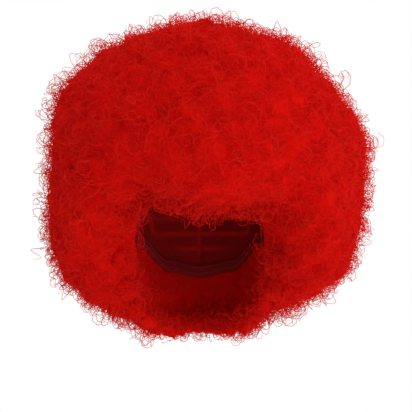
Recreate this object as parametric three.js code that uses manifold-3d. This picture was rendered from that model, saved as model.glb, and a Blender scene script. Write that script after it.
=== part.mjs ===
// A curly afro wig in the form that it has when it is worn: a stretch net cap with an elastic
// band inside its rim, and five sections of frizzed fibre hair that are sewn to the cap.
// Lengths are millimetres, with +Z up, the forehead towards -Y and the wearer's left towards +X.
// The origin is where the crown of the head touches the inside of the cap.
//
// Places on the head are given by two angles. The turn goes round the head from the forehead
// towards the wearer's left. The drop goes from the crown (0) down the side of the head:
// 90 degrees is the level where the head is widest.

import * as THREE from "three";
import { mergeVertices } from "three/addons/utils/BufferGeometryUtils.js";
import Module from "manifold-3d";

const wasm = await Module();
wasm.setup();

// The hollow for the head
const headHalfWidth = 76;
const headHalfDepth = 96;
const crownToWidest = 92; // height of the dome above the level where the head is widest
const neckTaper = 150; // height of the longer dome that narrows from there to the neck

// The cap and its band
const capWall = 2;
const bandWidth = 14;
const bandWall = 1.4;
const seatGap = 0.6; // between pieces that lie on each other
const partingGap = 0.4; // between two sections of hair at the cap

// How far the hair stands off the cap
const hairLength = { left: 101, right: 87, front: 70, back: 78, top: 117 };
const hairHang = 136; // from the widest level of the head down to the lowest curls
const hairCentreDrop = 62; // from the crown down to the point that the hair radiates from
const thinnestHair = 9;
const roundness = 2.3; // from side to top: 2 is an ellipsoid, more is squarer

// The curls clump in rounded tufts all over the hair
const tuftSpacing = 40;
const tuftHeight = 8;
const tuftWidth = 52; // more than the spacing, so that neighbouring tufts run into each other
const tuftBase = 0.5; // share of a tuft's height that lies below the mean surface

// The locks that hang from the lower edge of the hair
const lockLength = 34;
const lockWidth = 22;
const lockSides = 8;
const lockDepth = 0.6; // where a lock grows, as a share of the edge's thickness from the head
const lockSunk = 0.5; // share of a lock's length that is inside the hair
const lockFlare = 0.35; // how far a lock leans away from the head, as a slope
const lockLead = 8; // degrees above the edge from which a lock takes its way down

// The hair rounds over to its edge from this share of the way between the crown and the edge
const edgeRoundFrom = 0.78;

// The crown section ends at this drop, and the others meet at these turns, in degrees
const crownEnd = 50;
const templeTurn = 50;
const napeTurn = 116;

// The cap's rim: high on the forehead, a tab before the ear, an arch over it, low at the nape
const capRim = [
  { turn: 0, drop: 72 },
  { turn: 30, drop: 74 },
  { turn: 50, drop: 81 },
  { turn: 66, drop: 103 },
  { turn: 74, drop: 102 },
  { turn: 92, drop: 94 },
  { turn: 120, drop: 104 },
  { turn: 150, drop: 115 },
  { turn: 180, drop: 118 },
];

// The lower edge of the hair: the fringe at the brow, the hair beside the face, and the nape.
// The thickness is the share of the hair's full depth that is left at the edge. The edge isn't
// alike on both sides, so the turns run all the way round.
const hairEdge = [
  { turn: -180, drop: 141, thickness: 0.3 },
  { turn: -106, drop: 140, thickness: 0.32 },
  { turn: -90, drop: 134, thickness: 0.4 },
  { turn: -76, drop: 121, thickness: 0.52 },
  { turn: -65, drop: 105, thickness: 0.56 },
  { turn: -57, drop: 93, thickness: 0.5 },
  { turn: -49, drop: 82, thickness: 0.4 },
  { turn: -30, drop: 75, thickness: 0.3 },
  { turn: -10, drop: 79, thickness: 0.3 },
  { turn: 10, drop: 82, thickness: 0.3 },
  { turn: 30, drop: 81, thickness: 0.3 },
  { turn: 43, drop: 80, thickness: 0.36 },
  { turn: 50, drop: 85, thickness: 0.42 },
  { turn: 57, drop: 94, thickness: 0.5 },
  { turn: 65, drop: 105, thickness: 0.56 },
  { turn: 76, drop: 121, thickness: 0.52 },
  { turn: 90, drop: 134, thickness: 0.4 },
  { turn: 106, drop: 140, thickness: 0.32 },
  { turn: 180, drop: 141, thickness: 0.3 },
];

// Broad swellings and hollows of the hair. The rise is degrees above the level of the hair's
// centre, the spread is the half angle that a row covers, and the swell is a share of the reach.
const puffs = [
  { turn: -90, rise: 32, spread: 8, swell: 0.05 },
  { turn: -90, rise: 40, spread: 22, swell: 0.02 },
  { turn: -90, rise: 70, spread: 10, swell: -0.05 },
  { turn: -92, rise: 2, spread: 14, swell: -0.025 },
  { turn: -88, rise: -24, spread: 20, swell: 0.04 },
  { turn: -92, rise: -63, spread: 11, swell: 0.03 },
  { turn: 90, rise: 15, spread: 14, swell: 0.05 },
  { turn: 88, rise: 6, spread: 8, swell: -0.03 },
  { turn: 92, rise: 43, spread: 14, swell: -0.065 },
  { turn: 95, rise: -56, spread: 20, swell: -0.07 },
  { turn: 90, rise: -30, spread: 9, swell: 0.03 },
  { turn: 90, rise: 72, spread: 12, swell: -0.05 },
  { turn: -50, rise: 84, spread: 14, swell: 0.03 },
  { turn: 15, rise: 12, spread: 24, swell: 0.035 },
  { turn: -38, rise: 24, spread: 22, swell: 0.03 },
  { turn: -12, rise: 44, spread: 18, swell: -0.025 },
  { turn: 46, rise: 46, spread: 20, swell: 0.03 },
  { turn: 52, rise: -8, spread: 18, swell: 0.025 },
  { turn: -55, rise: -14, spread: 18, swell: 0.02 },
  { turn: 132, rise: 30, spread: 24, swell: 0.035 },
  { turn: 160, rise: -6, spread: 20, swell: -0.03 },
  { turn: -170, rise: 34, spread: 22, swell: 0.03 },
  { turn: -140, rise: 4, spread: 22, swell: 0.035 },
  { turn: -132, rise: 48, spread: 18, swell: -0.025 },
  { turn: 128, rise: -34, spread: 20, swell: 0.03 },
  { turn: -160, rise: -38, spread: 22, swell: 0.025 },
];

// The locks: each hangs from the hair's edge at its turn, swung sideways by its sway in degrees
const fringeLocks = [
  { turn: -42, length: 0.5, sway: -14 },
  { turn: -31, length: 0.45, sway: 10 },
  { turn: -19, length: 0.5, sway: -8 },
  { turn: -8, length: 0.55, sway: 12 },
  { turn: 4, length: 0.5, sway: -6 },
  { turn: 15, length: 0.55, sway: 10 },
  { turn: 26, length: 0.45, sway: -12 },
  { turn: 37, length: 0.4, sway: 8 },
];
const sideLocks = [
  { turn: 62, length: 0.6, sway: 14 },
  { turn: 71, length: 0.75, sway: -8 },
  { turn: 82, length: 0.7, sway: 10 },
  { turn: 92, length: 0.95, sway: -10 },
  { turn: 102, length: 0.8, sway: -6 },
];
const napeLocks = [
  { turn: 130, length: 0.9, sway: 8 },
  { turn: 142, length: 0.75, sway: -10 },
  { turn: 155, length: 0.95, sway: 6 },
  { turn: 168, length: 0.8, sway: 12 },
  { turn: 183, length: 0.9, sway: -10 },
  { turn: 198, length: 0.75, sway: 6 },
  { turn: 212, length: 1, sway: -12 },
  { turn: 229, length: 1.1, sway: -8 },
];

// A lock's outline, as shares of its half width and of its length from the thick end
const lockProfile = [
  { across: 0, along: 0 },
  { across: 0.8, along: 0.14 },
  { across: 1, along: 0.45 },
  { across: 0.72, along: 0.82 },
  { across: 0, along: 1 },
];

// How finely each surface is drawn
const poleSides = 6;
const capGrid = { columns: 54, rows: 10 };
const crownGrids = { outer: { columns: 84, rows: 14 }, inner: { columns: 42, rows: 7 } };
const fringeGrids = { outer: { columns: 24, rows: 12 }, inner: { columns: 12, rows: 6 } };
const sideGrids = { outer: { columns: 18, rows: 20 }, inner: { columns: 18, rows: 10 } };
const backGrids = { outer: { columns: 32, rows: 20 }, inner: { columns: 20, rows: 10 } };
const headFormGrid = { columns: 72, rows: 18 };
const headFormEnd = 175; // the drop at which the head form closes

const fibreRed = new THREE.MeshStandardMaterial({ color: 0xc8140f, roughness: 0.75, metalness: 0 });
const netRed = new THREE.MeshStandardMaterial({ color: 0x4a0d10, roughness: 0.9, metalness: 0 });
const bandRed = new THREE.MeshStandardMaterial({ color: 0x7a1014, roughness: 0.85, metalness: 0 });

const radians = THREE.MathUtils.degToRad;

// A value from a table by turn in degrees: an eased step from each row to the next.
function fromTable(rows, turn, column) {
  const next = rows.findIndex((row) => row.turn >= turn);
  if (next <= 0) return rows[next < 0 ? rows.length - 1 : 0][column];
  const [before, after] = [rows[next - 1], rows[next]];
  const share = (turn - before.turn) / (after.turn - before.turn);
  return THREE.MathUtils.lerp(before[column], after[column], THREE.MathUtils.smoothstep(share, 0, 1));
}

// A turn in degrees brought into -180 to 180.
const wrapTurn = (turn) => THREE.MathUtils.euclideanModulo(turn + 180, 360) - 180;
const capRimAt = (turn) => fromTable(capRim, Math.abs(wrapTurn(turn)), "drop");
const hairEdgeAt = (turn) => fromTable(hairEdge, wrapTurn(turn), "drop");
const edgeThicknessAt = (turn) => fromTable(hairEdge, wrapTurn(turn), "thickness");

// A point on the head, or on a surface that lies outside it by an offset.
function headPoint(turn, drop, offset) {
  const t = radians(turn);
  const d = radians(drop);
  const dome = drop <= 90 ? crownToWidest : neckTaper;
  return new THREE.Vector3(
    (headHalfWidth + offset) * Math.sin(d) * Math.sin(t),
    -(headHalfDepth + offset) * Math.sin(d) * Math.cos(t),
    -crownToWidest + (dome + offset) * Math.cos(d),
  );
}

// A unit vector from a turn and a rise, both in degrees.
function direction(turn, rise) {
  const t = radians(turn);
  const r = radians(rise);
  return new THREE.Vector3(Math.cos(r) * Math.sin(t), -Math.cos(r) * Math.cos(t), Math.sin(r));
}

const hairRoot = capWall + seatGap;
const hairCentre = new THREE.Vector3(0, 0, -hairCentreDrop);
const hairReach = {
  left: headHalfWidth + hairRoot + hairLength.left,
  right: headHalfWidth + hairRoot + hairLength.right,
  front: headHalfDepth + hairRoot + hairLength.front,
  back: headHalfDepth + hairRoot + hairLength.back,
  up: hairCentreDrop + hairLength.top,
  down: crownToWidest - hairCentreDrop + hairHang,
};

const puffRows = puffs.map((puff) => ({ ...puff, towards: direction(puff.turn, puff.rise) }));

// Even directions all round, along the golden spiral, one for each tuft.
function tuftDirections() {
  const meanReach = Math.cbrt(
    ((hairReach.left + hairReach.right) / 2) *
      ((hairReach.front + hairReach.back) / 2) *
      ((hairReach.up + hairReach.down) / 2),
  );
  const count = Math.round((4 * Math.PI * meanReach ** 2) / tuftSpacing ** 2);
  const goldenTurn = Math.PI * (3 - Math.sqrt(5));
  return Array.from({ length: count }, (_, i) => {
    const height = 1 - (2 * i + 1) / count;
    const ring = Math.sqrt(1 - height ** 2);
    return new THREE.Vector3(ring * Math.cos(goldenTurn * i), ring * Math.sin(goldenTurn * i), height);
  });
}

const tufts = tuftDirections();

// The reach of the hair from its centre: an oval in plan with its own reach each way, blended
// with the reach up and down, swollen by the puffs and raised in rounded tufts.
function reachTowards(d) {
  const level = Math.hypot(
    d.x / (d.x > 0 ? hairReach.left : hairReach.right),
    d.y / (d.y > 0 ? hairReach.back : hairReach.front),
  );
  const upright = Math.abs(d.z / (d.z > 0 ? hairReach.up : hairReach.down));
  const base = (level ** roundness + upright ** roundness) ** (-1 / roundness);
  let swell = 1;
  for (const puff of puffRows) {
    const away = puff.towards.angleTo(d) / radians(puff.spread);
    swell += puff.swell * Math.exp(-(away ** 2));
  }
  const nearest = Math.max(...tufts.map((tuft) => tuft.dot(d)));
  const fromTuft = (Math.acos(Math.min(1, nearest)) * base) / (tuftWidth / 2);
  return base * swell + tuftHeight * (Math.max(0, 1 - fromTuft ** 2) - tuftBase);
}

const hairInner = (turn, drop) => headPoint(turn, drop, hairRoot);

// The outside of the hair, on the ray from the hair's centre through the inner point. Past the
// rounding share of the way to the edge, the depth of the hair falls along a quarter of an oval.
function hairOuter(turn, drop) {
  const inner = hairInner(turn, drop);
  const ray = inner.clone().sub(hairCentre);
  const towards = ray.clone().normalize();
  const depth = Math.max(reachTowards(towards) - ray.length(), thinnestHair);
  const past = Math.max(0, (drop / hairEdgeAt(turn) - edgeRoundFrom) / (1 - edgeRoundFrom));
  const rounding = Math.sqrt(1 - (1 - edgeThicknessAt(turn) ** 2) * Math.min(1, past) ** 2);
  return inner.addScaledVector(towards, depth * rounding);
}

// A manifold solid from points and triangles.
function solidFrom(points, triangles) {
  const vertProperties = new Float32Array(points.flatMap((p) => [p.x, p.y, p.z]));
  return new wasm.Manifold(
    new wasm.Mesh({ numProp: 3, vertProperties, triVerts: new Uint32Array(triangles.flat()) }),
  );
}

// A manifold solid from a closed three.js geometry.
function solidOf(geometry) {
  const bare = geometry.clone();
  bare.deleteAttribute("normal");
  bare.deleteAttribute("uv");
  const merged = mergeVertices(bare);
  return new wasm.Manifold(
    new wasm.Mesh({
      numProp: 3,
      vertProperties: new Float32Array(merged.attributes.position.array),
      triVerts: new Uint32Array(merged.index.array),
    }),
  );
}

function geometryOf(solid) {
  const { numProp, vertProperties, triVerts } = solid.getMesh();
  const positions = new Float32Array((vertProperties.length / numProp) * 3);
  for (let i = 0; i < positions.length / 3; i++) {
    positions.set(vertProperties.slice(i * numProp, i * numProp + 3), i * 3);
  }
  const geometry = new THREE.BufferGeometry();
  geometry.setAttribute("position", new THREE.BufferAttribute(positions, 3));
  geometry.setIndex(new THREE.BufferAttribute(new Uint32Array(triVerts), 1));
  geometry.computeVertexNormals();
  return geometry;
}

// The two triangles of a four-sided face, cut along its shorter diagonal. The corners are the
// upper left and right and then the lower left and right, as seen from outside.
function splitFace(points, upperLeft, upperRight, lowerLeft, lowerRight) {
  const falling = points[upperLeft].distanceTo(points[lowerRight]);
  const rising = points[upperRight].distanceTo(points[lowerLeft]);
  return falling <= rising
    ? [[upperLeft, lowerLeft, lowerRight], [upperLeft, lowerRight, upperRight]]
    : [[upperLeft, lowerLeft, upperRight], [lowerLeft, lowerRight, upperRight]];
}

// Triangles that join two closed loops of point numbers, the upper or outer one first. Where
// both loops are equally far along, the face between them is cut along its shorter diagonal.
function bridge(points, upper, lower) {
  const triangles = [];
  let [a, b] = [0, 0];
  while (a < upper.length || b < lower.length) {
    const [from, to] = [upper[a % upper.length], lower[b % lower.length]];
    const [nextUpper, nextLower] = [upper[(a + 1) % upper.length], lower[(b + 1) % lower.length]];
    const lead = (a + 1) * lower.length - (b + 1) * upper.length;
    const falling = points[from].distanceTo(points[nextLower]);
    const rising = points[nextUpper].distanceTo(points[to]);
    if (lead < 0 || (lead === 0 && rising < falling)) {
      triangles.push([from, to, nextUpper]);
      a += 1;
    } else {
      triangles.push([from, to, nextLower]);
      b += 1;
    }
  }
  return triangles;
}

// Triangles that are turned round, to face the other way.
const flipped = (triangles) => triangles.map((triangle) => triangle.toReversed());

// Rings of points from the pole of a dome, each with a share more than the last up to a most,
// so that the faces are much alike in size. It gives the last ring.
function addRings(points, triangles, at, { columns, rows }, facesOut) {
  const pole = points.push(at(0, 0)) - 1;
  let above = null;
  for (let r = 1; r <= rows; r++) {
    const count = Math.min(columns, poleSides * r);
    const ring = Array.from(
      { length: count },
      (_, c) => points.push(at((360 * c) / count, r / rows)) - 1,
    );
    const faces = above
      ? bridge(points, above, ring)
      : ring.map((point, c) => [pole, point, ring[(c + 1) % count]]);
    triangles.push(...(facesOut ? faces : flipped(faces)));
    above = ring;
  }
  return above;
}

// A bowl that is closed at the crown: rings of points outside and inside, and a wall at the rim.
// A surface is a function of the turn in degrees and the share of the way to the rim.
function bowl(outerAt, innerAt, outerGrid, innerGrid) {
  const points = [];
  const triangles = [];
  const outerRim = addRings(points, triangles, outerAt, outerGrid, true);
  const innerRim = addRings(points, triangles, innerAt, innerGrid, false);
  triangles.push(...bridge(points, outerRim, innerRim));
  return solidFrom(points, triangles);
}

// A section with four sides: grids of points outside and inside, and walls all round.
// A surface is a function of the share across, from 0 to 1, and the share down.
function section(outerAt, innerAt, outerGrid, innerGrid) {
  const points = [];
  const triangles = [];
  function sheet(at, { columns, rows }, facesOut) {
    const first = points.length;
    for (let r = 0; r <= rows; r++) {
      for (let c = 0; c <= columns; c++) points.push(at(c / columns, r / rows));
    }
    const number = (c, r) => first + r * (columns + 1) + c;
    for (let r = 0; r < rows; r++) {
      for (let c = 0; c < columns; c++) {
        const [a, b] = [number(c, r), number(c + 1, r)];
        const [d, e] = [number(c, r + 1), number(c + 1, r + 1)];
        const faces = splitFace(points, a, b, d, e);
        triangles.push(...(facesOut ? faces : flipped(faces)));
      }
    }
    const loop = [];
    for (let r = 0; r < rows; r++) loop.push(number(0, r));
    for (let c = 0; c < columns; c++) loop.push(number(c, rows));
    for (let r = rows; r > 0; r--) loop.push(number(columns, r));
    for (let c = columns; c > 0; c--) loop.push(number(c, 0));
    return loop;
  }
  const outerLoop = sheet(outerAt, outerGrid, true);
  const innerLoop = sheet(innerAt, innerGrid, false);
  triangles.push(...bridge(points, outerLoop, innerLoop));
  return solidFrom(points, triangles);
}

// The head with the cap on it and the gap round that, as a solid from crown to neck.
function headFormSolid() {
  const points = [];
  const triangles = [];
  const surface = (turn, share) => headPoint(turn, share * headFormEnd, hairRoot);
  const last = addRings(points, triangles, surface, headFormGrid, true);
  const foot = points.push(headPoint(0, 180, hairRoot)) - 1;
  triangles.push(...last.map((point, c) => [point, foot, last[(c + 1) % last.length]]));
  return solidFrom(points, triangles);
}

const headForm = headFormSolid();

// A tapered lock that hangs from the edge of the hair, with its thick end inside the hair.
function lockSolid({ turn, length, sway }) {
  const long = lockLength * length;
  const profile = lockProfile.map(
    ({ across, along }) => new THREE.Vector2((across * lockWidth) / 2, along * long),
  );
  const lock = new THREE.LatheGeometry(profile, lockSides);
  const within = (drop) => hairInner(turn, drop).lerp(hairOuter(turn, drop), lockDepth);
  const edge = hairEdgeAt(turn);
  const root = within(edge);
  const hang = root.clone().sub(within(edge - lockLead)).normalize();
  const away = direction(turn, 0).multiplyScalar(lockFlare);
  const sideways = direction(turn + 90, 0).multiplyScalar(Math.sin(radians(sway)));
  const towards = hang.add(away).add(sideways).normalize();
  lock.applyQuaternion(new THREE.Quaternion().setFromUnitVectors(new THREE.Vector3(0, 1, 0), towards));
  const start = root.addScaledVector(towards, -long * lockSunk);
  lock.translate(start.x, start.y, start.z);
  return solidOf(lock).subtract(headForm);
}

// The drop that the band's width takes up at a turn, measured along the cap's rim there.
function bandDropAt(turn) {
  const rim = capRimAt(turn);
  const perDegree = headPoint(turn, rim, 0).distanceTo(headPoint(turn, rim - 1, 0));
  return bandWidth / perDegree;
}

// The last row of the cap's grid is as wide as the band, so that the two lie face to face.
function wigCap() {
  const hemFrom = (capGrid.rows - 1) / capGrid.rows;
  function dropAt(turn, share) {
    const [rim, hem] = [capRimAt(turn), bandDropAt(turn)];
    return share <= hemFrom
      ? ((rim - hem) * share) / hemFrom
      : rim - (hem * (1 - share)) / (1 - hemFrom);
  }
  const surface = (offset) => (turn, share) => headPoint(turn, dropAt(turn, share), offset);
  return bowl(surface(capWall), surface(0), capGrid, capGrid);
}

// The band lies inside the cap, along its rim: a flat strip that is carried round the head.
function edgeBand() {
  const { columns } = capGrid;
  const outside = -seatGap;
  const inside = outside - bandWall;
  const corners = [
    { up: 0, offset: outside },
    { up: 1, offset: outside },
    { up: 1, offset: inside },
    { up: 0, offset: inside },
  ];
  const points = [];
  const triangles = [];
  for (let c = 0; c < columns; c++) {
    const turn = (360 * c) / columns;
    const [rim, hem] = [capRimAt(turn), bandDropAt(turn)];
    for (const { up, offset } of corners) points.push(headPoint(turn, rim - up * hem, offset));
  }
  for (let c = 0; c < columns; c++) {
    for (let k = 0; k < corners.length; k++) {
      const next = (k + 1) % corners.length;
      const here = c * corners.length;
      const there = ((c + 1) % columns) * corners.length;
      triangles.push(...splitFace(points, here + next, there + next, here + k, there + k));
    }
  }
  return solidFrom(points, triangles);
}

function crownHair() {
  const surface = (at) => (turn, share) => at(turn, share * crownEnd);
  return bowl(surface(hairOuter), surface(hairInner), crownGrids.outer, crownGrids.inner);
}

// A section of hair between two turns, from the crown section down to the hair's edge.
function hairBetween(fromTurn, toTurn, grids, locks) {
  const partingDrop = THREE.MathUtils.radToDeg(partingGap / crownToWidest);
  const narrowest = headHalfWidth * Math.sin(radians(crownEnd));
  const partingTurn = THREE.MathUtils.radToDeg(partingGap / narrowest);
  const top = crownEnd + partingDrop;
  const surface = (at) => (across, down) => {
    const turn = THREE.MathUtils.lerp(fromTurn + partingTurn / 2, toTurn - partingTurn / 2, across);
    return at(turn, THREE.MathUtils.lerp(top, hairEdgeAt(turn), down));
  };
  const hair = section(surface(hairOuter), surface(hairInner), grids.outer, grids.inner);
  return locks.reduce((whole, lock) => whole.add(lockSolid(lock)), hair);
}

const mirrored = (locks) => locks.map((lock) => ({ ...lock, turn: -lock.turn, sway: -lock.sway }));

const wig = new THREE.Group();

function addPiece(name, solid, material) {
  const mesh = new THREE.Mesh(geometryOf(solid), material);
  mesh.name = name;
  wig.add(mesh);
}

addPiece("wig_cap", wigCap(), netRed);
addPiece("edge_band", edgeBand(), bandRed);
addPiece("crown_hair", crownHair(), fibreRed);
addPiece("fringe_hair", hairBetween(-templeTurn, templeTurn, fringeGrids, fringeLocks), fibreRed);
addPiece("left_side_hair", hairBetween(templeTurn, napeTurn, sideGrids, sideLocks), fibreRed);
addPiece(
  "right_side_hair",
  hairBetween(-napeTurn, -templeTurn, sideGrids, mirrored(sideLocks)),
  fibreRed,
);
addPiece("back_hair", hairBetween(napeTurn, 360 - napeTurn, backGrids, napeLocks), fibreRed);

export default wig;
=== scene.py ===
"""A red curly afro wig in the form that it has when it is worn, in metres, with +Z up, the
forehead towards -Y and the wearer's left towards +X. Turns go round the head from the forehead
towards the wearer's left, and drops go from the crown (0) down its side, both in degrees."""

import itertools

import bpy
import numpy as np
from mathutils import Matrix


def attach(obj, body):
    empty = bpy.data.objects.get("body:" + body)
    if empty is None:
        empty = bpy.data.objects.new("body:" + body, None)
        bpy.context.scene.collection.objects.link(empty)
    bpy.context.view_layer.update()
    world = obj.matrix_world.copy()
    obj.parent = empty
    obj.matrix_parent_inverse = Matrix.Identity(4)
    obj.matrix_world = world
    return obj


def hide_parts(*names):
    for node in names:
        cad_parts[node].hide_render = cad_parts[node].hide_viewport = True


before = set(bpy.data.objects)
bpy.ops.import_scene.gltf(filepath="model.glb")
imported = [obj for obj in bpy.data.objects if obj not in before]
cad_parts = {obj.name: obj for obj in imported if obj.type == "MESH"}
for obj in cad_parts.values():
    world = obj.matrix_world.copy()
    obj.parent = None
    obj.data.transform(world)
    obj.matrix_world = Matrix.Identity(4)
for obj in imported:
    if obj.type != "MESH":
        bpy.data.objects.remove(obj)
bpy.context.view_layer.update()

# The wig cap
# A close cap of stretch net, knitted from fine dark red yarn. Rows of weft are sewn round it by
# machine, and stand proud inside as low ridges; this is the side that shows in the opening.
HEAD_HALF_WIDTH = 0.076
HEAD_HALF_DEPTH = 0.096
CROWN_TO_WIDEST = 0.092
NECK_TAPER = 0.150
CAP_WALL = 0.002
# turn, drop of the cap's rim
CAP_RIM = [
    (0, 72), (30, 74), (50, 81), (66, 103), (74, 102), (92, 94), (120, 104), (150, 115), (180, 118),
]
CAP_COLUMNS = 96
# first and last share of the way, and the number of rings: outside, over the rim, and inside
CAP_RINGS = [(0.02, 0.97, 20), (0.985, 1.015, 7), (1.03, 1.98, 111)]
RIM_SPAN = 0.03
WEFT_PITCH = 0.0105
WEFT_WIDTH = 0.0026
WEFT_RELIEF = 0.0009
CAP_SEAMS = 8
SEAM_WIDTH = 0.0018
SEAM_HEIGHT = 0.8
RIDGES_END = 0.016
RIDGES_FADE = 0.004
NET_MESH = 0.0022
NET_RELIEF = 0.0003
NET_GAP = (0.34, 0.005, 0.005, 1)
NET_YARN = (0.14, 0.003, 0.004, 1)
WEFT_RED = (0.50, 0.006, 0.006, 1)


def eased(table, turn):
    """The value at each turn: between two rows it follows 3s² - 2s³ of the share s of the way."""
    turns, values = np.array(table, float).T
    after = np.clip(np.searchsorted(turns, turn), 1, len(turns) - 1)
    share = np.clip((turn - turns[after - 1]) / (turns[after] - turns[after - 1]), 0, 1)
    return values[after - 1] + (values[after] - values[after - 1]) * share**2 * (3 - 2 * share)


def wrapped(turn):
    """Each turn brought into -180 to 180."""
    return (np.asarray(turn, float) + 180) % 360 - 180


def head_point(turn, drop, offset):
    """Half ellipsoids that meet at the widest level: x and y are the half widths times the sine
    of the drop, and z is the dome's height times its cosine."""
    t, d = np.radians(turn), np.radians(drop)
    dome = np.where(np.asarray(drop) <= 90, CROWN_TO_WIDEST, NECK_TAPER)
    x = (HEAD_HALF_WIDTH + offset) * np.sin(d) * np.sin(t)
    y = -(HEAD_HALF_DEPTH + offset) * np.sin(d) * np.cos(t)
    z = -CROWN_TO_WIDEST + (dome + offset) * np.cos(d)
    return np.stack(np.broadcast_arrays(x, y, z), -1)


def unit(vectors):
    """Each vector over its length."""
    return vectors / np.maximum(np.linalg.norm(vectors, axis=-1, keepdims=True), 1e-12)


def add_piece(name, points, polygons, material, slot, replaced=(), **values):
    """A mesh piece from points and from arrays of polygons, one array for each number of sides,
    with a named number at each point for its material to read. It rides on the wig."""
    mesh = bpy.data.meshes.new(name)
    loops = np.concatenate([p.ravel() for p in polygons])
    sides = np.concatenate([np.full(len(p), p.shape[1]) for p in polygons])
    mesh.vertices.add(len(points))
    mesh.vertices.foreach_set("co", np.ascontiguousarray(points, np.float32).ravel())
    mesh.loops.add(len(loops))
    mesh.loops.foreach_set("vertex_index", loops.astype(np.int32))
    mesh.polygons.add(len(sides))
    mesh.polygons.foreach_set("loop_start", (np.cumsum(sides) - sides).astype(np.int32))
    mesh.update(calc_edges=True)
    mesh.shade_smooth()
    for key, numbers in values.items():
        attribute = mesh.attributes.new(key, "FLOAT", "POINT")
        attribute.data.foreach_set("value", np.ascontiguousarray(numbers, np.float32).ravel())
    mesh.materials.append(material)
    piece = bpy.data.objects.new(name, mesh)
    bpy.context.scene.collection.objects.link(piece)
    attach(piece, "root")
    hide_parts(*replaced)
    return piece


def grid_faces(rows, columns, around, along=False):
    """Four-sided faces of a grid of points that are numbered row by row. It may close on itself
    around, from the last column to the first, and along, from the last row to the first."""
    r, c = np.meshgrid(
        np.arange(rows if along else rows - 1),
        np.arange(columns if around else columns - 1),
        indexing="ij",
    )
    below, right = (r + 1) % rows, (c + 1) % columns
    corners = [r * columns + c, below * columns + c, below * columns + right, r * columns + right]
    return np.stack(corners, -1).reshape(-1, 4)


def dome_faces(rows, columns):
    """Faces of a closed skin whose rings run from one pole to another. Points are numbered ring
    by ring, and the two poles come last."""
    here = np.arange(columns)
    right = (here + 1) % columns
    foot = (rows - 1) * columns
    first, last = np.full(columns, rows * columns), np.full(columns, rows * columns + 1)
    fans = [np.stack([first, here, right], -1), np.stack([foot + here, last, foot + right], -1)]
    return [grid_faces(rows, columns, around=True), np.concatenate(fans)]


def new_material(name, **sockets):
    """A material with one surface shader, whose own sockets hold what is alike all over."""
    material = bpy.data.materials.new(name)
    material.use_nodes = True
    tree = material.node_tree
    tree.nodes.clear()
    shader = tree.nodes.new("ShaderNodeBsdfPrincipled")
    output = tree.nodes.new("ShaderNodeOutputMaterial")
    tree.links.new(shader.outputs["BSDF"], output.inputs["Surface"])
    for key, value in sockets.items():
        shader.inputs[key.replace("_", " ")].default_value = value
    return material


def add_node(material, kind, inputs, output=0, **settings):
    """A node with its settings, whose inputs are numbers, colours or other nodes' outputs. It
    gives one of its outputs."""
    node = material.node_tree.nodes.new(kind)
    for key, value in settings.items():
        setattr(node, key, value)
    for key, value in inputs.items():
        if isinstance(value, bpy.types.NodeSocket):
            material.node_tree.links.new(value, node.inputs[key])
        else:
            node.inputs[key].default_value = value
    return node.outputs[output]


def add_math(material, operation, *values):
    """A sum, product or wave of numbers or of other nodes' outputs, in the order given."""
    return add_node(material, "ShaderNodeMath", dict(enumerate(values)), operation=operation)


def read_number(material, name):
    """The named number that the mesh carries at each point."""
    return add_node(material, "ShaderNodeAttribute", {}, "Fac", attribute_name=name)


def object_place(material):
    """The place of each point in the piece's own coordinates, in metres."""
    return add_node(material, "ShaderNodeTexCoord", {}, "Object")


def add_noise(material, place, scale, detail, output="Fac"):
    """Random cloudiness over the places, with so many waves to a metre."""
    values = {"Vector": place, "Scale": scale, "Detail": detail}
    return add_node(material, "ShaderNodeTexNoise", values, output)


def add_ramp(material, value, stops):
    """A colour ramp over a value, with its stops as (place, colour)."""
    colour = add_node(material, "ShaderNodeValToRGB", {"Fac": value})
    elements = colour.node.color_ramp.elements
    while len(elements) < len(stops):
        elements.new(0.5)
    for element, (place, stop_colour) in zip(elements, stops):
        element.position = place
        element.color = stop_colour
    return colour


def shade(material, colour, bump_height, distance, strength):
    """Gives the material's shader its colour and a bump of that height, in metres."""
    shader = material.node_tree.nodes["Principled BSDF"]
    normal = add_node(
        material, "ShaderNodeBump", {"Height": bump_height, "Distance": distance, "Strength": strength}
    )
    material.node_tree.links.new(colour, shader.inputs["Base Color"])
    material.node_tree.links.new(normal, shader.inputs["Normal"])


def cap_skin(turn, way):
    """The cap's skin. The way runs from the crown outside (0) over the rim (1) to the crown
    inside (2), and the skin crosses the wall along half a wave at the rim. Inside, each row of
    weft and each seam is a ridge whose height follows the bell curve of the distance to it, and
    which ends above the band at the rim."""
    over_rim = np.clip((way - 1) / RIM_SPAN + 0.5, 0, 1)
    skin = CAP_WALL * (0.5 + 0.5 * np.cos(np.pi * over_rim))
    rim = eased(CAP_RIM, np.abs(wrapped(turn)))
    drop = rim * (1 - np.abs(way - 1))
    down = np.radians(drop) * CROWN_TO_WIDEST
    above_rim = np.radians(rim) * CROWN_TO_WIDEST - down
    around = np.radians(wrapped(turn)) * HEAD_HALF_WIDTH * np.sin(np.radians(drop))
    to_weft = ((down / WEFT_PITCH + 0.5) % 1 - 0.5) * WEFT_PITCH
    weft = np.exp(-((2 * to_weft / WEFT_WIDTH) ** 2)) * (down > WEFT_PITCH / 2)
    to_seam = ((turn * CAP_SEAMS / 360 + 0.5) % 1 - 0.5) * 2 * np.pi / CAP_SEAMS
    seam = np.exp(-((to_seam * np.sin(np.radians(drop)) * HEAD_HALF_WIDTH / SEAM_WIDTH) ** 2))
    inside = np.clip((above_rim - RIDGES_END) / RIDGES_FADE, 0, 1) * (way > 1)
    ridge = np.maximum(weft, SEAM_HEIGHT * seam) * inside
    return head_point(turn, drop, skin - WEFT_RELIEF * ridge), ridge, around, down


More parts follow.
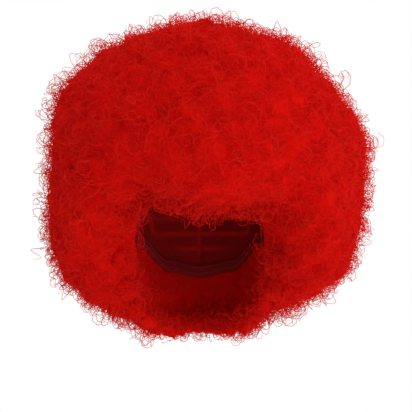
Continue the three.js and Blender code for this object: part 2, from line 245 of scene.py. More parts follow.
cap_turns = np.linspace(0, 360, CAP_COLUMNS, endpoint=False)
cap_ways = np.concatenate([np.linspace(*rings) for rings in CAP_RINGS])
turn, way = np.meshgrid(cap_turns, cap_ways)
skin, ridge, around, down = cap_skin(turn, way)
cap_poles = [head_point(0, 0, CAP_WALL), head_point(0, 0, 0)]

net = new_material("stretch_net", Roughness=0.8, Specular_IOR_Level=0.05)
across = read_number(net, "around")
along = read_number(net, "down")
threads = []
for operation in ("ADD", "SUBTRACT"):
    slant = add_math(net, operation, across, along)
    phase = add_math(net, "MULTIPLY", slant, 2 * np.pi / NET_MESH)
    threads.append(add_math(net, "COSINE", phase))
yarn = add_math(net, "MAXIMUM", *threads)
net_red = add_ramp(net, yarn, [(0.3, NET_GAP), (0.8, NET_YARN)])
weft_mix = {"Fac": read_number(net, "ridge"), "Color1": net_red, "Color2": WEFT_RED}
cap_red = add_node(net, "ShaderNodeMixRGB", weft_mix)
lint = add_noise(net, object_place(net), 5500.0, 3.0)
knit = add_math(net, "ADD", yarn, lint)
shade(net, cap_red, knit, distance=NET_RELIEF, strength=0.7)

add_piece(
    "wig_cap_net",
    np.concatenate([skin.reshape(-1, 3), cap_poles]),
    dome_faces(*turn.shape),
    net,
    "cap_net",
    ["wig_cap"],
    ridge=np.append(ridge, [0, 0]),
    around=np.append(around, [0, 0]),
    down=np.append(down, [0, 0]),
)

# The edge band
# A plain band of ribbed elastic inside the rim of the cap, which grips the head. It is held by
# two rows of zigzag stitches in red thread.
BAND_WIDTH = 0.014
BAND_WALL = 0.0014
BAND_GAP = 0.0006
BAND_COLUMNS = 240
BAND_ROUND = 6
RIB_PITCH = 0.0017
RIB_RELIEF = 0.0002
BAND_DARK = (0.10, 0.004, 0.006, 1)
BAND_RED = (0.26, 0.008, 0.01, 1)
STITCH_ROWS = {"lower": 0.0035, "upper": 0.0105}
STITCH_PITCH = 1.0
STITCH_ZIGZAG = 0.0011
STITCH_THREAD = 0.0003
STITCH_PROUD = 0.6
STITCH_SIDES = 4
TWIST_RELIEF = 0.0001
THREAD_RED = (0.5, 0.012, 0.012, 1)


def band_point(turn, up, inward):
    """A point of the band: up from the rim, and inward from the cap, both in metres."""
    rim = eased(CAP_RIM, np.abs(wrapped(turn)))
    per_degree = np.linalg.norm(head_point(turn, rim, 0) - head_point(turn, rim - 1, 0), axis=-1)
    return head_point(turn, rim - up / per_degree, -inward)


def tube_faces(count, points, sides):
    """Faces of closed tubes that each have so many rings of so many sides, and a flat end at
    both ends."""
    one = grid_faces(points, sides, around=True)
    starts = np.arange(count)[:, None, None] * points * sides
    ends = np.array([np.arange(sides)[::-1], (points - 1) * sides + np.arange(sides)])
    return [(starts + one).reshape(-1, 4), (starts + ends).reshape(-1, sides)]


def tubes(paths, axes, radii, sides):
    """Rings of points round each point of each path: the way along the path, the cross product
    of that with the tube's own axis, and the cross product of those two make its frame."""
    forward = unit(np.gradient(paths, axis=1))
    side = unit(np.cross(forward, np.broadcast_to(axes[:, None], paths.shape)))
    up = np.cross(side, forward)
    angle = 2 * np.pi * np.arange(sides) / sides
    ring = np.cos(angle)[:, None] * side[:, :, None] + np.sin(angle)[:, None] * up[:, :, None]
    return (paths[:, :, None] + radii[..., None, None] * ring).reshape(-1, 3)


corner = np.linspace(0, np.pi, BAND_ROUND)
half_wall = BAND_WALL / 2
rounded_up = half_wall * (1 - np.sin(corner))
rounded_in = half_wall * np.cos(corner)
band_up = np.concatenate([rounded_up, BAND_WIDTH - rounded_up])
band_in = np.concatenate([-rounded_in, rounded_in])
band_turns = np.linspace(0, 360, BAND_COLUMNS, endpoint=False)
turn, row = np.meshgrid(band_turns, np.arange(2 * BAND_ROUND))
band_points = band_point(turn, band_up[row], BAND_GAP + half_wall + band_in[row])

elastic = new_material("ribbed_elastic", Roughness=0.75, Specular_IOR_Level=0.08)
rib_phase = add_math(elastic, "MULTIPLY", read_number(elastic, "up"), 2 * np.pi / RIB_PITCH)
rib = add_math(elastic, "SINE", rib_phase)
fluff = add_noise(elastic, object_place(elastic), 8000.0, 2.0)
knit = add_math(elastic, "ADD", rib, fluff)
band_red = add_ramp(elastic, knit, [(0.2, BAND_DARK), (0.9, BAND_RED)])
shade(elastic, band_red, knit, distance=RIB_RELIEF, strength=0.6)
add_piece(
    "edge_band_elastic",
    band_points.reshape(-1, 3),
    [grid_faces(*turn.shape, around=True, along=True)],
    elastic,
    "elastic_band",
    ["edge_band"],
    up=band_up[row],
)

thread = new_material("sewing_thread", Roughness=0.5, Specular_IOR_Level=0.3)
twist = add_noise(thread, object_place(thread), 16000.0, 1.0)
thread_red = add_ramp(thread, twist, [(0.3, BAND_RED), (0.7, THREAD_RED)])
shade(thread, thread_red, twist, distance=TWIST_RELIEF, strength=0.5)
stitch_turn = np.arange(0, 360 + STITCH_PITCH, STITCH_PITCH)
zigzag = STITCH_ZIGZAG * (-1.0) ** np.arange(len(stitch_turn))
stitch_in = BAND_GAP + BAND_WALL + STITCH_PROUD * STITCH_THREAD
for row_name, row_up in STITCH_ROWS.items():
    path = band_point(stitch_turn, row_up + zigzag, stitch_in)[None]
    radii = np.full(path.shape[:2], STITCH_THREAD)
    add_piece(
        f"band_stitches_{row_name}",
        tubes(path, np.array([[0.0, 0.0, 1.0]]), radii, STITCH_SIDES),
        tube_faces(1, path.shape[1], STITCH_SIDES),
        thread,
        "elastic_band",
    )

# The hair of the crown
# Frizzed synthetic fibre that stands off the cap all round. A dense mass of crimped fibre fills
# each section, lumpy where the fibre clumps, and fine curls stand on it as loops and ringlets.
HAIR_ROOT = 0.0026
HAIR_CENTRE = np.array([0, 0, -0.062])
HAIR_REACH_LEFT = HEAD_HALF_WIDTH + HAIR_ROOT + 0.101
HAIR_REACH_RIGHT = HEAD_HALF_WIDTH + HAIR_ROOT + 0.087
HAIR_REACH_FRONT = HEAD_HALF_DEPTH + HAIR_ROOT + 0.070
HAIR_REACH_BACK = HEAD_HALF_DEPTH + HAIR_ROOT + 0.078
HAIR_REACH_UP = -HAIR_CENTRE[2] + 0.117
HAIR_REACH_DOWN = CROWN_TO_WIDEST + HAIR_CENTRE[2] + 0.136
THINNEST_HAIR = 0.009
ROUNDNESS = 2.3
EDGE_ROUND_FROM = 0.78
CROWN_END = 50
# turn, drop of the hair's lower edge
HAIR_EDGE = [
    (-180, 141), (-106, 140), (-90, 134), (-76, 121), (-65, 105), (-57, 93), (-49, 82), (-30, 75),
    (-10, 79), (10, 82), (30, 81), (43, 80), (50, 85), (57, 94), (65, 105), (76, 121), (90, 134),
    (106, 140), (180, 141),
]
# turn, share of the hair's depth that is left at the edge
EDGE_THICKNESS = [
    (-180, 0.3), (-106, 0.32), (-90, 0.4), (-76, 0.52), (-65, 0.56), (-57, 0.5), (-49, 0.4),
    (-30, 0.3), (30, 0.3), (43, 0.36), (50, 0.42), (57, 0.5), (65, 0.56), (76, 0.52), (90, 0.4),
    (106, 0.32), (180, 0.3),
]
# turn and rise of each broad swelling or hollow, its half angle, and its share of the reach
PUFFS = [
    (-90, 32, 8, 0.05), (-90, 40, 22, 0.02), (-90, 70, 10, -0.05), (-92, 2, 14, -0.025),
    (-88, -24, 20, 0.04), (-92, -63, 11, 0.03), (90, 15, 14, 0.05), (88, 6, 8, -0.03),
    (92, 43, 14, -0.065), (95, -56, 20, -0.07), (90, -30, 9, 0.03), (90, 72, 12, -0.05),
    (-50, 84, 14, 0.03), (15, 12, 24, 0.035), (-38, 24, 22, 0.03), (-12, 44, 18, -0.025),
    (46, 46, 20, 0.03), (52, -8, 18, 0.025), (-55, -14, 18, 0.02), (132, 30, 24, 0.035),
    (160, -6, 20, -0.03), (-170, 34, 22, 0.03), (-140, 4, 22, 0.035), (-132, 48, 18, -0.025),
    (128, -34, 20, 0.03), (-160, -38, 22, 0.025),
]
TUFT_SPACING = 0.040
TUFT_HEIGHT = 0.008
TUFT_WIDTH = 0.052
TUFT_BASE = 0.5
TUFT_BLEND = 5
MASS_SINK = 0.0092
LEAST_MASS = 0.5
CLUMP_SIZE = 0.015
CLUMP_RELIEF = 0.0016
# the clumps' share of the height by which the fibre mass is painted darker in the gaps, as painted
# shade
CLUMP_SHADE_SHARE = 0.6
CRIMP_SIZE = 0.0062
CRIMP_RELIEF = 0.0021
PEAK_SIZE = 0.020
PEAK_RELIEF = 0.0035
PEAK_SHARPNESS = 12
CREASE_ANGLE = 55
# number to a square metre, points along each, the least and most of its length and of its
# turns, the power that its bend grows with, and the radius of its thread
CURLS = {
    "loops": (24500, 8, (0.011, 0.030), (1.05, 1.50), 1.3, 0.00031),
    "ringlets": (11500, 10, (0.028, 0.052), (1.25, 1.75), 1.5, 0.00029),
    "flyaways": (1200, 10, (0.028, 0.050), (1.10, 1.70), 1.6, 0.00024),
}
CURL_SIDES = 3
CURL_SUNK = 0.0012
CURL_DRIFT = 0.3
STEM_STEP = 1.5
THREAD_SPREAD = (0.75, 1.25)
ROOT_THREAD = 1.35
TIP_THREAD = 0.6
CURL_TONE = (0.2, 0.55)
# painted shade: how much darker each curl is painted at its lit tip than at its shaded root
TIP_PAINTED_DARKER = 0.35
MOST_LEAN = 60
POINTS_IN_A_PIECE = 31000
INSIDE_LIFT = 0.75
WILD_SIZE = 0.045
WILD_LEAST = 0.65
WILD_MORE = 0.72
MOSTLY_SHORT = 1.3
RINGS_TO_A_METRE = 190.0
RING_WAVES = 24.0
RING_BEND = 0.012
RING_DEPTH = 0.35
FELT_RELIEF = 0.0012
CURL_RELIEF = 0.0001
# waves to a metre and detail of the cloudy tone that runs through mass and curls alike
HAIR_CLOUD = (26.0, 3.0)
# painted shade: the dark red towards the curls' tips
HAIR_TIP_PAINTED_DARK = (0.44, 0.0026, 0.0018, 1)
# painted shade: the red of the fibre mass in the gaps between clumps
HAIR_SHADOW = (0.68, 0.0032, 0.0021, 1)
HAIR_DEEP = (0.70, 0.0040, 0.0025, 1)
HAIR_RED = (0.73, 0.0056, 0.0033, 1)
# the brightest red, which the curls' painted glints reach
HAIR_BRIGHT = (0.76, 0.0100, 0.0062, 1)
RNG = np.random.default_rng(7)


def towards(turn, rise):
    """Unit vectors from turns and rises above level."""
    t, r = np.radians(turn), np.radians(rise)
    parts = np.broadcast_arrays(np.cos(r) * np.sin(t), -np.cos(r) * np.cos(t), np.sin(r))
    return np.stack(parts, -1)


def tuft_directions():
    """Even directions all round, along the golden spiral, one for each tuft."""
    level = (HAIR_REACH_LEFT + HAIR_REACH_RIGHT) / 2 * (HAIR_REACH_FRONT + HAIR_REACH_BACK) / 2
    mean_reach = np.cbrt(level * (HAIR_REACH_UP + HAIR_REACH_DOWN) / 2)
    count = round(4 * np.pi * mean_reach**2 / TUFT_SPACING**2)
    i = np.arange(count)
    height = 1 - (2 * i + 1) / count
    angle = np.pi * (3 - np.sqrt(5)) * i
    ring = np.sqrt(1 - height**2)
    return np.stack([ring * np.cos(angle), ring * np.sin(angle), height], -1)


TUFTS = tuft_directions()


def hair_reach(d):
    """How far the hair reaches from its centre along unit vectors. The base is an oval in plan
    blended with the reach up and down: the sum of their shares, each to the power of the
    roundness, is 1. Each puff adds its share times the bell curve of the angle to it, and each
    tuft is a dome that falls with the square of the distance from its middle. Where tufts meet
    they blend: the logarithm of the sum of their exponents takes the place of the highest."""
    level = np.hypot(
        d[..., 0] / np.where(d[..., 0] > 0, HAIR_REACH_LEFT, HAIR_REACH_RIGHT),
        d[..., 1] / np.where(d[..., 1] > 0, HAIR_REACH_BACK, HAIR_REACH_FRONT),
    )
    upright = np.abs(d[..., 2] / np.where(d[..., 2] > 0, HAIR_REACH_UP, HAIR_REACH_DOWN))
    base = (level**ROUNDNESS + upright**ROUNDNESS) ** (-1 / ROUNDNESS)
    puff_turn, puff_rise, spread, swell = np.array(PUFFS, float).T
    away = np.arccos(np.clip(d @ towards(puff_turn, puff_rise).T, -1, 1)) / np.radians(spread)
    from_tuft = np.arccos(np.clip(d @ TUFTS.T, -1, 1)) * base[..., None] / (TUFT_WIDTH / 2)
    dome = np.log(np.exp(TUFT_BLEND * (1 - from_tuft**2)).sum(-1)) / TUFT_BLEND
    tuft = TUFT_HEIGHT * (np.maximum(0, dome) - TUFT_BASE)
    return base * (1 + (swell * np.exp(-(away**2))).sum(-1)) + tuft


def hair_point(turn, drop, depth, sink=MASS_SINK):
    """A point in the hair, from the cap (depth 0) to the outer surface (1), on the ray from the
    hair's centre. Past the rounding share of the way down, the outer surface comes in along a
    quarter of an oval to the thickness that is left at the edge. The mass of fibre lies below
    that surface by the sink, but keeps at least its least share of the hair's thickness."""
    inner = head_point(turn, drop, HAIR_ROOT)
    ray = inner - HAIR_CENTRE
    length = np.linalg.norm(ray, axis=-1)
    d = ray / length[..., None]
    full = np.maximum(hair_reach(d) - length, THINNEST_HAIR)
    way = drop / eased(HAIR_EDGE, wrapped(turn))
    past = np.clip((way - EDGE_ROUND_FROM) / (1 - EDGE_ROUND_FROM), 0, 1)
    edge = eased(EDGE_THICKNESS, wrapped(turn))
    rounded = full * np.sqrt(1 - (1 - edge**2) * past**2)
    thick = np.maximum(rounded - sink, LEAST_MASS * rounded)
    return inner + d * (thick * depth)[..., None]


def scatter(cells, seed):
    """Three numbers from 0 to 1 for each cell, that look random and are the same each time."""
    keys = np.array([[127.1, 311.7, 74.7], [269.5, 183.3, 246.1], [113.5, 271.9, 124.6]]) + seed
    return np.abs(np.sin(cells @ keys.T) * 43758.5453) % 1


def clumps(points, size, seed):
    """1 in the middle of each clump and 0 where clumps meet: 1 less the squared distance to the
    nearest point of a lattice whose points are scattered each within its own cell."""
    place = points / size
    cell = np.floor(place)
    nearest = np.ones(points.shape[:-1])
    for step in itertools.product((-1, 0, 1), repeat=3):
        near = cell + step
        nearest = np.minimum(nearest, ((place - near - scatter(near, seed)) ** 2).sum(-1))
    return 1 - nearest


def grid_normals(points, around):
    """Unit normals of a grid, from the cross product of its ways down and across."""
    down = np.gradient(points, axis=0)
    wide = np.pad(points, ((0, 0), (1, 1), (0, 0)), mode="wrap") if around else points
    across = (wide[:, 2:] - wide[:, :-2]) if around else np.gradient(points, axis=1)
    return unit(np.cross(down, across))


def fluff_up(points, normals, share):
    """Raises a surface along its normals in clumps of fibre, in finer crimps on them, and in a
    few steep peaks. It also gives how high each point lies, from 0 in the gaps between clumps
    to 1 on top of them, by which the fibre mass is painted darker in the gaps as painted shade."""
    clump = clumps(points, CLUMP_SIZE, 0)
    crimp = clumps(points, CRIMP_SIZE, 5)
    peak = clumps(points, PEAK_SIZE, 11) ** PEAK_SHARPNESS
    rise = CLUMP_RELIEF * (clump - 0.5) + CRIMP_RELIEF * (crimp - 0.5) + PEAK_RELIEF * peak
    height = CLUMP_SHADE_SHARE * clump + (1 - CLUMP_SHADE_SHARE) * crimp
    return points + normals * (rise * share)[..., None], height


def curl_roots(points, normals, weight, density):
    """Places spread evenly by area over a grid's faces, as points, normals and weights there.
    The chance of a face is its area times its weight."""
    corner, below, right = points[:-1, :-1], points[1:, :-1], points[:-1, 1:]
    area = np.linalg.norm(np.cross(below - corner, right - corner), axis=-1)
    total = np.cumsum(area * weight[:-1, :-1])
    count = int(total[-1] * density)
    pick = np.searchsorted(total, (np.arange(count) + RNG.random(count)) / count * total[-1])
    r, c = np.unravel_index(np.minimum(pick, area.size - 1), area.shape)
    down, across = RNG.random((2, count, 1))
    place = corner[r, c] + down * (below[r, c] - corner[r, c]) + across * (right[r, c] - corner[r, c])
    return place, normals[r, c], weight[r, c]


def curl_paths(roots, normals, lift, kind):
    """Each curl leaves its root along an axis that leans away from the normal. Its heading turns
    with a power of the way along it and its steps get shorter, so that it rises straight and ends
    in a small ring, and it drifts a little across. The headings, summed step by step, are the
    path. Here and there is a wild patch, where the curls are longer."""
    _, points, length, turns, power, _ = CURLS[kind]
    count = len(roots)
    across = unit(np.cross(normals, RNG.normal(size=(count, 3))))
    lean = np.radians(RNG.uniform(0, MOST_LEAN, count))[:, None]
    axis = np.cos(lean) * normals + np.sin(lean) * np.cross(normals, across)
    side = unit(np.cross(axis, RNG.normal(size=(count, 3))))
    binormal = np.cross(axis, side)
    s = (np.arange(points - 1) + 0.5) / (points - 1)
    heading = (2 * np.pi * RNG.uniform(*turns, count)[:, None] * s**power)[..., None]
    steps = np.cos(heading) * axis[:, None] + np.sin(heading) * side[:, None]
    steps = steps + CURL_DRIFT * binormal[:, None]
    steps *= (STEM_STEP + (2 - 2 * STEM_STEP) * s)[:, None]
    reach = length[0] + (length[1] - length[0]) * RNG.random(count) ** MOSTLY_SHORT
    reach = reach * (WILD_LEAST + WILD_MORE * clumps(roots, WILD_SIZE, 9) ** 2)
    path = np.cumsum(steps, 1) * (lift * reach / (points - 1))[:, None, None]
    root = roots - CURL_SUNK * normals
    return root[:, None] + np.concatenate([np.zeros((count, 1, 3)), path], 1), binormal


def add_curls(name, kind, roots, normals, lift):
    """Fine curls of one kind, each a thin tube that tapers towards its tip. Each has its own
    tone, and is painted darker towards its tip: painted shade on the lit tips that evens them
    out against the roots, which lie in shade. Many curls make several pieces, none too heavy."""
    _, points, _, _, _, thread = CURLS[kind]
    pieces = int(np.ceil(len(roots) * points / POINTS_IN_A_PIECE))
    for number, chosen in enumerate(np.array_split(RNG.permutation(len(roots)), pieces), 1):
        paths, axes = curl_paths(roots[chosen], normals[chosen], lift[chosen], kind)
        s = np.linspace(0, 1, points)
        taper = ROOT_THREAD + (TIP_THREAD - ROOT_THREAD) * s
        radii = thread * RNG.uniform(*THREAD_SPREAD, len(chosen))[:, None] * taper
        # each curl's own tone, less painted shade towards its tip
        tone = RNG.uniform(*CURL_TONE, len(chosen))[:, None] - TIP_PAINTED_DARKER * s
        add_piece(
            f"{name}_{kind}_{number}",
            tubes(paths, axes, radii, CURL_SIDES),
            tube_faces(len(chosen), points, CURL_SIDES),
            fibre_curls,
            "fibre_hair",
            tone=np.repeat(tone.ravel(), CURL_SIDES),
        )


def cover_with_curls(name, points, normals, weight):
    """Curls of each kind all over a grid. Where the weight is less than 1, inside the wig, they
    lie flatter."""
    for kind, (density, *_) in CURLS.items():
        roots, ways, root_weight = curl_roots(points, normals, weight, density)
        add_curls(name, kind, roots, ways, np.where(root_weight < 1, INSIDE_LIFT, 1.0))


def add_mass(name, points, polygons, tone, replaced):
    """A mass of fibre, whose parting walls meet its outside in a sharp edge."""
    mass = add_piece(name, points, polygons, fibre_mass, "fibre_hair", replaced, tone=tone)
    mass.data.set_sharp_from_angle(angle=np.radians(CREASE_ANGLE))


def fibre_mass_material():
    """Dense crimped fibre, with painted shade in the gaps between clumps, and a pattern of tiny
    bent rings, the waves of the distance to scattered points, like the loops of single fibres."""
    material = new_material(
        "fibre_mass",
        Roughness=0.9,
        Specular_IOR_Level=0.02,
        Subsurface_Weight=0.5,
        Subsurface_Radius=(0.006, 0.0004, 0.0004),
        Subsurface_Scale=1.0,
    )
    place = object_place(material)
    bend = add_noise(material, place, 160.0, 2.0, output="Color")
    bent = add_node(material, "ShaderNodeMixRGB", {"Fac": RING_BEND, "Color1": place, "Color2": bend})
    cells = {"Vector": bent, "Scale": RINGS_TO_A_METRE}
    to_ring = add_node(material, "ShaderNodeTexVoronoi", cells, "Distance", feature="F1")
    ring = add_math(material, "SINE", add_math(material, "MULTIPLY", to_ring, RING_WAVES))
    frizz = add_noise(material, place, 900.0, 4.0)
    fibre = add_math(material, "MULTIPLY_ADD", ring, RING_DEPTH, frizz)
    cloud = add_noise(material, place, *HAIR_CLOUD)
    height = read_number(material, "tone")
    # painted shade, darker where the mesh lies low between clumps, plus the cloudy tone
    painted_shade_and_tone = add_math(material, "MULTIPLY_ADD", height, 0.5, cloud)
    mixed = add_math(material, "MULTIPLY_ADD", fibre, 0.3, painted_shade_and_tone)
    stops = [(0.45, HAIR_SHADOW), (0.68, HAIR_DEEP), (0.95, HAIR_RED)]
    shade(material, add_ramp(material, mixed, stops), fibre, distance=FELT_RELIEF, strength=0.8)
    return material


def fibre_curl_material():
    """Single curls: each has its own tone of the same red, with small painted glints along it."""
    material = new_material(
        "fibre_curls",
        Roughness=0.8,
        Specular_IOR_Level=0.04,
        Subsurface_Weight=0.7,
        Subsurface_Radius=(0.004, 0.0004, 0.0004),
        Subsurface_Scale=1.0,
    )
    tone = read_number(material, "tone")
    place = object_place(material)
    cloud = add_noise(material, place, *HAIR_CLOUD)
    painted_shade_and_tone = add_math(material, "MULTIPLY_ADD", cloud, 0.4, tone)
    # painted highlights: small bright glints along the curls
    painted_glint = add_noise(material, place, 420.0, 1.0)
    mixed = add_math(material, "MULTIPLY_ADD", painted_glint, 0.8, painted_shade_and_tone)
    stops = [(0.4, HAIR_TIP_PAINTED_DARK), (0.75, HAIR_RED), (1.0, HAIR_BRIGHT)]
    crimp = add_noise(material, place, 1500.0, 1.0)
    shade(material, add_ramp(material, mixed, stops), crimp, distance=CURL_RELIEF, strength=0.4)
    return material


fibre_mass = fibre_mass_material()
fibre_curls = fibre_curl_material()

CROWN_COLUMNS = 280
CROWN_ROWS = 74
CROWN_FIRST_DROP = 0.8
CROWN_WALL_DEPTHS = [0.66, 0.33, 0.0]
CROWN_INNER_ROWS = 6
CROWN_INNER_DROP = 1
MIDDLE_TONE = 0.5
crown_turns = np.linspace(0, 360, CROWN_COLUMNS, endpoint=False)
turn, drop = np.meshgrid(crown_turns, np.linspace(CROWN_FIRST_DROP, CROWN_END, CROWN_ROWS))
outer = hair_point(turn, drop, 1.0)
outer_normals = grid_normals(outer, around=True)
outer, tone = fluff_up(outer, outer_normals, np.ones(turn.shape))
wall_turn, wall_depth = np.meshgrid(crown_turns, CROWN_WALL_DEPTHS)
wall = hair_point(wall_turn, CROWN_END, wall_depth)
inner_drops = np.linspace(CROWN_END, CROWN_INNER_DROP, CROWN_INNER_ROWS)[1:]
inner_turn, inner_drop = np.meshgrid(crown_turns, inner_drops)
inner = hair_point(inner_turn, inner_drop, 0.0)
crown_points = np.concatenate([outer, wall, inner])
crown_poles = [outer[0].mean(0), inner[-1].mean(0)]
crown_tone = np.pad(tone, ((0, len(wall) + len(inner)), (0, 0)), constant_values=MIDDLE_TONE)
add_mass(
    "crown_fibre_mass",
    np.concatenate([crown_points.reshape(-1, 3), crown_poles]),
    dome_faces(*crown_points.shape[:2]),
    np.append(crown_tone, [MIDDLE_TONE, MIDDLE_TONE]),
    ["crown_hair"],
)
crown_grids = (outer, outer_normals, np.ones(turn.shape))
round_again = [np.concatenate([grid, grid[:, :1]], 1) for grid in crown_grids]
cover_with_curls("crown", *round_again)

# The hair below the crown
# Four sections hang from the crown section down to the hair's edge: the fringe over the
# forehead, one on each side from temple to nape, and the back. Each is sewn on in its own rows.
PARTING_TURNS = {
    "fringe": (-50, 50),
    "left_side": (50, 116),
    "right_side": (-116, -50),
    "back": (116, 244),
}
SECTION_COLUMNS = {"fringe": 110, "left_side": 76, "right_side": 76, "back": 140}
SECTION_ROWS = {"fringe": 50, "left_side": 88, "right_side": 88, "back": 92}
EDGE_ROWS = 12
INNER_ROWS = 24
INSIDE_FIBRE = 0.7
CAP_FADE = 4
LOCK_LENGTH = 0.034
LOCK_WIDTH = 0.017
LOCK_DEPTH = 0.6
LOCK_SUNK = 0.5
LOCK_FLARE = 0.35
LOCK_LEAD = 8
LOCK_ROWS = 22
LOCK_SIDES = 14
LOCK_TIP = 0.004
LOCK_TOP_HEAVY = 0.75
LOCK_STOUT = 0.6
LOCK_WAVE = 0.0022
LOCK_WAVES = 1.3
LOCK_DROOP = 0.6
LOCK_LIFT = 0.8
# a way that no lock hangs in, which gives its rings a steady side
LOCK_ASIDE = [0.31, 0.95, 0.05]
LOCK_CURLS = {"loops": 60, "ringlets": 36}
# turn of each lock that hangs from the edge, its share of the full length, and its sway sideways
SIDE_LOCKS = [(62, 0.6, 14), (71, 0.75, -8), (82, 0.7, 10), (92, 0.95, -10), (102, 0.8, -6)]
LOCKS = {
    "fringe": [
        (-42, 0.5, -14), (-31, 0.45, 10), (-19, 0.5, -8), (-8, 0.55, 12), (4, 0.5, -6),
        (15, 0.55, 10), (26, 0.45, -12), (37, 0.4, 8),
    ],
    "left_side": SIDE_LOCKS,
    "right_side": [(-turn, length, -sway) for turn, length, sway in SIDE_LOCKS],
    "back": [
        (130, 0.9, 8), (142, 0.75, -10), (155, 0.95, 6), (168, 0.8, 12), (183, 0.9, -10),
        (198, 0.75, 6), (212, 1.0, -12), (229, 1.1, -8),
    ],
}


def section_faces(rows, columns):
    """Faces of a section whose rows go right round it, with its two flat ends."""
    start = np.arange(rows)[::-1] * columns
    ends = np.array([start, start[::-1] + columns - 1])
    return [grid_faces(rows, columns, around=False, along=True), ends]


def lock_paths(turn, length, sway):
    """The middle line of each lock. It starts inside the hair's edge and goes on the way that
    the hair has there, leaning away from the head and to one side, with a wave that grows
    towards its tip."""
    edge = eased(HAIR_EDGE, wrapped(turn))
    root = hair_point(turn, edge, LOCK_DEPTH, sink=0)
    hang = unit(root - hair_point(turn, edge - LOCK_LEAD, LOCK_DEPTH, sink=0))
    sideways = towards(turn + 90, 0)
    axis = unit(hang + LOCK_FLARE * towards(turn, 0) + np.sin(np.radians(sway))[:, None] * sideways)
    s = np.linspace(0, 1, LOCK_ROWS)[:, None]
    straight = (LOCK_LENGTH * length)[:, None, None] * (s - LOCK_SUNK) * axis[:, None]
    wave = LOCK_WAVE * s * np.sin(2 * np.pi * (LOCK_WAVES * s + RNG.random((len(turn), 1, 1))))
    return root[:, None] + straight + wave * sideways[:, None], axis


def add_locks(section, node):
    """The locks of a section: tufts of fibre with a round waist that thin out to a tip. The
    half width goes as a power of the sine of half a turn, so that a lock is stout near its top."""
    turn, length, sway = np.array(LOCKS[section], float).T
    paths, axis = lock_paths(turn, length, sway)
    s = np.linspace(LOCK_TIP, 1 - LOCK_TIP, LOCK_ROWS)
    waist = np.sin(np.pi * s**LOCK_TOP_HEAVY) ** LOCK_STOUT
    radii = np.broadcast_to(LOCK_WIDTH / 2 * waist, paths.shape[:2])
    rings = tubes(paths, np.cross(axis, LOCK_ASIDE), radii, LOCK_SIDES)
    rings = rings.reshape(len(turn), LOCK_ROWS, LOCK_SIDES, 3)
    normals = unit(rings - paths[:, :, None])
    share = np.broadcast_to(radii[..., None] / LOCK_WIDTH * 2, rings.shape[:3])
    rings, tone = fluff_up(rings, normals, share)
    faces = tube_faces(len(turn), LOCK_ROWS, LOCK_SIDES)
    add_mass(f"{section}_locks", rings.reshape(-1, 3), faces, tone, [node])
    chance = np.broadcast_to(radii[..., None], rings.shape[:3]).ravel()
    hanging = unit(normals.reshape(-1, 3) + LOCK_DROOP * np.repeat(axis, LOCK_ROWS * LOCK_SIDES, 0))
    for kind, each in LOCK_CURLS.items():
        pick = RNG.choice(chance.size, each * len(turn), p=chance / chance.sum())
        lift = np.full(len(pick), LOCK_LIFT)
        add_curls(f"{section}_lock", kind, rings.reshape(-1, 3)[pick], hanging[pick], lift)


for section, (from_turn, to_turn) in PARTING_TURNS.items():
    rows = SECTION_ROWS[section]
    way = [np.linspace(0, 1, rows), np.ones(EDGE_ROWS), np.linspace(1, 0, INNER_ROWS)]
    depth = [np.ones(rows), np.linspace(1, 0, EDGE_ROWS + 2)[1:-1], np.zeros(INNER_ROWS)]
    way, depth = np.concatenate(way), np.concatenate(depth)
    turn, way_down = np.meshgrid(np.linspace(from_turn, to_turn, SECTION_COLUMNS[section]), way)
    depth = np.broadcast_to(depth[:, None], turn.shape)
    edge = eased(HAIR_EDGE, wrapped(turn))
    drop = CROWN_END + (edge - CROWN_END) * way_down
    points = hair_point(turn, drop, depth)
    normals = grid_normals(points, around=False)
    below_cap = np.clip((drop - eased(CAP_RIM, np.abs(wrapped(turn)))) / CAP_FADE, 0, 1)
    fibre = np.where(depth > 0, 1.0, INSIDE_FIBRE * below_cap)
    points, tone = fluff_up(points, normals, fibre)
    faces = section_faces(*turn.shape)
    add_mass(f"{section}_fibre_mass", points.reshape(-1, 3), faces, tone, [f"{section}_hair"])
    cover_with_curls(section, points, normals, fibre)
    add_locks(section, f"{section}_hair")

# The studio
# A plain pale round floor well below the wig, white all round, and four soft lights. The camera
# looks level at the wig from two metres, as the photograph does.
PHOTO_WIDTH = 412
MM_PER_PIXEL = 1.076
CAMERA_FAR = 2.0
CAMERA_AT = (0.0065, -CAMERA_FAR, -0.082)
FLOOR_LEVEL = -1.25
FLOOR_RADIUS = 3.4
FLOOR_SIDES = 96
WALL_LIGHT = 0.66
FLOOR_PALE = (0.85, 0.85, 0.85, 1)
WIG_MIDDLE = (0, 0, -0.06)
# place, side and power of each light
LIGHTS = {
    "key": ((1.9, -1.4, -0.6), 1.3, 16),
    "front": ((0.6, -2.2, -1.0), 1.2, 9.5),
    "fill": ((0.3, -1.2, 1.9), 1.4, 14),
    "back": ((0.3, 1.8, 1.2), 1.2, 12),
}

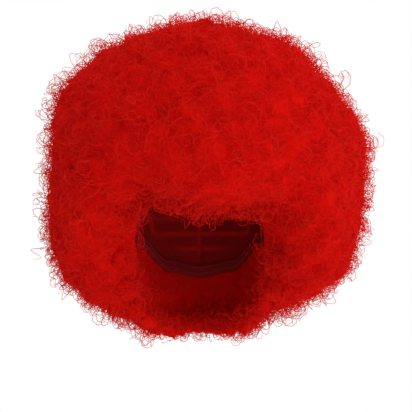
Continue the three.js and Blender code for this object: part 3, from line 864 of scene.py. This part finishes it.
round_floor = 2 * np.pi * np.arange(FLOOR_SIDES) / FLOOR_SIDES
floor_x, floor_y = FLOOR_RADIUS * np.cos(round_floor), FLOOR_RADIUS * np.sin(round_floor)
floor_points = np.stack([floor_x, floor_y, np.full(FLOOR_SIDES, FLOOR_LEVEL)], -1)
floor_mesh = bpy.data.meshes.new("floor")
floor_mesh.from_pydata(floor_points.tolist(), [], [list(range(FLOOR_SIDES))])
floor = bpy.data.objects.new("floor", floor_mesh)
bpy.context.scene.collection.objects.link(floor)
pale = new_material("pale_floor", Roughness=0.9, Specular_IOR_Level=0.1, Base_Color=FLOOR_PALE)
floor_mesh.materials.append(pale)

world = bpy.data.worlds.new("white")
world.use_nodes = True
background = world.node_tree.nodes["Background"]
background.inputs["Color"].default_value = (1, 1, 1, 1)
seen = world.node_tree.nodes.new("ShaderNodeLightPath")
strength = world.node_tree.nodes.new("ShaderNodeMapRange")
strength.inputs["To Min"].default_value = WALL_LIGHT
strength.inputs["To Max"].default_value = 1.0
world.node_tree.links.new(seen.outputs["Is Camera Ray"], strength.inputs["Value"])
world.node_tree.links.new(strength.outputs["Result"], background.inputs["Strength"])
bpy.context.scene.world = world
bpy.context.scene.view_settings.view_transform = "Standard"


def add_light(name, place, size, power):
    """A square soft light that faces the middle of the wig."""
    data = bpy.data.lights.new(name, "AREA")
    data.size = size
    data.energy = power
    light = bpy.data.objects.new(name, data)
    bpy.context.scene.collection.objects.link(light)
    light.location = place
    way = np.subtract(WIG_MIDDLE, place)
    flat = np.hypot(way[0], way[1])
    light.rotation_euler = (np.arctan2(flat, -way[2]), 0, np.arctan2(-way[0], way[1]))


for light_name, (light_place, light_size, light_power) in LIGHTS.items():
    add_light(light_name, light_place, light_size, light_power)

camera_data = bpy.data.cameras.new("camera")
camera_data.lens = camera_data.sensor_width * CAMERA_FAR / (PHOTO_WIDTH * MM_PER_PIXEL / 1000)
camera = bpy.data.objects.new("camera", camera_data)
camera.location = CAMERA_AT
camera.rotation_euler = (np.pi / 2, 0, 0)
bpy.context.scene.collection.objects.link(camera)
bpy.context.scene.camera = camera
